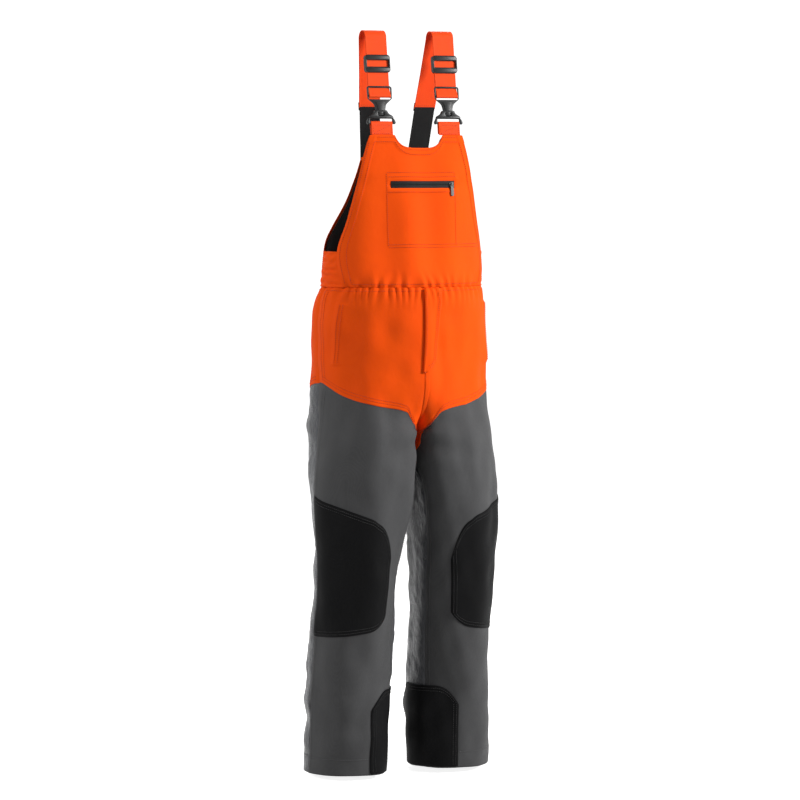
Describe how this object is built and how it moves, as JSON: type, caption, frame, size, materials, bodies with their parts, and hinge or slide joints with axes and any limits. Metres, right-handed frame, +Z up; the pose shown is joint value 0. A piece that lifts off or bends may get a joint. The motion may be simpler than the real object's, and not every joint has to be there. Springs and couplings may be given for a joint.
{
  "type": "chainsaw protective bib trousers",
  "caption": "Bib-and-brace work trousers with saw-protection pads, knee patches, webbing braces with tongue buckles and sliding adjusters, and zips at chest and fly.",
  "frame": {"origin": "between the two shoulder loops of the braces, level with the underside of their tops, where the garment hangs", "axes": "+Z up along the hanging garment, -Y towards the wearer's front, +X towards the wearer's left"},
  "size_m": [0.4204, 0.2971, 1.5904],
  "materials": {
    "shell_orange": "matt woven polyester and cotton shell cloth in signal orange",
    "shell_grey": "matt dark grey woven shell cloth",
    "light_nylon": "light crinkled nylon, slightly shiny",
    "patch_black": "heavy black ballistic weave",
    "lining_black": "matt black lining",
    "saw_pad": "felt-like layers of long protective fibres",
    "webbing_orange": "orange woven webbing",
    "elastic_black": "ribbed black elastic",
    "buckle_plastic": "moulded black acetal, satin",
    "zip_black": "black coil zip on woven tape",
    "zip_metal": "plated zip slider"
  },
  "bodies": {
    "garment": {"right_leg_front": "shell_grey", "left_leg_front": "shell_grey", "right_leg_back": "light_nylon", "left_leg_back": "light_nylon", "right_saw_pad": "saw_pad", "left_saw_pad": "saw_pad", "right_leg_lining": "lining_black", "left_leg_lining": "lining_black", "right_knee_patch": "patch_black", "left_knee_patch": "patch_black", "right_ankle_patch": "patch_black", "left_ankle_patch": "patch_black", "right_hem_turn_up": "shell_grey", "left_hem_turn_up": "shell_grey", "right_hip_front": "shell_orange", "left_hip_front": "shell_orange", "right_seat": "shell_orange", "left_seat": "shell_orange", "right_hip_pocket_bag": "lining_black", "left_hip_pocket_bag": "lining_black", "right_buckle_keeper": "buckle_plastic", "left_buckle_keeper": "buckle_plastic", "right_bib_tab": "webbing_orange", "left_bib_tab": "webbing_orange", "right_elastic": "elastic_black", "left_elastic": "elastic_black", "right_side_elastic": "shell_orange", "left_side_elastic": "shell_orange", "fly_flap": "shell_orange", "fly_zip_tape": "zip_black", "fly_shield": "shell_orange", "bib_front": "shell_orange", "bib_lining": "lining_black", "chest_pocket_bag": "lining_black", "chest_zip_tape": "zip_black", "back_panel": "shell_orange", "back_lining": "lining_black", "waist_elastic": "elastic_black"},
    "right_brace": {"right_strap": "webbing_orange", "right_strap_turnback": "webbing_orange", "right_buckle_hook": "buckle_plastic"},
    "left_brace": {"left_strap": "webbing_orange", "left_strap_turnback": "webbing_orange", "left_buckle_hook": "buckle_plastic"},
    "right_slide_adjuster": {"right_adjuster": "buckle_plastic"},
    "left_slide_adjuster": {"left_adjuster": "buckle_plastic"},
    "chest_slider": {"chest_zip_slider": "zip_metal"},
    "chest_pull": {"chest_zip_pull": "zip_metal"},
    "fly_slider": {"fly_zip_slider": "zip_metal", "fly_zip_pull": "zip_metal"}
  },
  "joints": [
    {"name": "right_buckle_pull", "type": "slide", "parent": "garment", "child": "right_brace", "axis": [0, 0.1392, 0.9903], "range_m": [0, 0.03], "stiffness_N_per_m": 250, "deforming": ["right_elastic"]},
    {"name": "right_adjuster_slide", "type": "slide", "parent": "right_brace", "child": "right_slide_adjuster", "axis": [0, 0.1392, 0.9903], "range_m": [-0.02, 0.02], "deforming": ["right_strap_turnback"]},
    {"name": "left_buckle_pull", "type": "slide", "parent": "garment", "child": "left_brace", "axis": [0, 0.1392, 0.9903], "range_m": [0, 0.03], "stiffness_N_per_m": 250, "deforming": ["left_elastic"]},
    {"name": "left_adjuster_slide", "type": "slide", "parent": "left_brace", "child": "left_slide_adjuster", "axis": [0, 0.1392, 0.9903], "range_m": [-0.02, 0.02], "deforming": ["left_strap_turnback"]},
    {"name": "chest_zip_run", "type": "hinge", "parent": "garment", "child": "chest_slider", "pos_m": [0, 0.32184, -0.3729], "axis": [0, -0.12, -0.9928], "range_deg": [0, 19.4]},
    {"name": "chest_pull_swing", "type": "hinge", "parent": "chest_slider", "child": "chest_pull", "pos_m": [0.0752, -0.06777, -0.32447], "axis": [-0.9805, -0.1964, 0], "range_deg": [0, 150]},
    {"name": "fly_zip_run", "type": "slide", "parent": "garment", "child": "fly_slider", "axis": [0, -0.0243, -0.9997], "range_m": [0, 0.127]}
  ]
}
